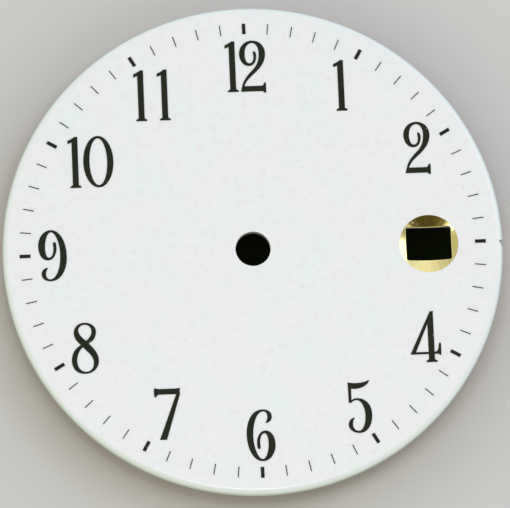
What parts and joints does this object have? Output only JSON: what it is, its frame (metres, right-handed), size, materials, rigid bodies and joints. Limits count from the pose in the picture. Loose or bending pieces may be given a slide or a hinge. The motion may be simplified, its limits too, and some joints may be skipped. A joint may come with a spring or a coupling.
{
  "type": "watch dial",
  "caption": "Round white wristwatch dial with black printed numerals, a minute track, a gilded date window, a centre hole for the hands and feet on the back.",
  "frame": {"origin": "on the axis of the centre hole, on the back face that lies on the movement", "axes": "+Z out of the printed face along the hands' axis, +Y towards 12 o'clock, +X towards 3 o'clock"},
  "size_m": [0.0284, 0.0284, 0.0025],
  "materials": {
    "plate_brass": "fine circular grain",
    "white_lacquer": "satin white lacquer",
    "window_gold": "polished gold",
    "dial_ink": "raised printed ink, satin",
    "foot_copper": "drawn copper wire",
    "solder": "dull tin solder"
  },
  "bodies": {
    "root": {"dial_plate": "plate_brass", "white_lacquer": "white_lacquer", "window_gilding": "window_gold", "hour_bars": "dial_ink", "minute_marks": "dial_ink", "dial_foot_1": "foot_copper", "dial_foot_2": "foot_copper", "foot_solder_1": "solder", "foot_solder_2": "solder", "numeral_1": "dial_ink", "numeral_2": "dial_ink", "numeral_4": "dial_ink", "numeral_5": "dial_ink", "numeral_6": "dial_ink", "numeral_7": "dial_ink", "numeral_8": "dial_ink", "numeral_9": "dial_ink", "numeral_10": "dial_ink", "numeral_11": "dial_ink", "numeral_12": "dial_ink"}
  },
  "joints": []
}
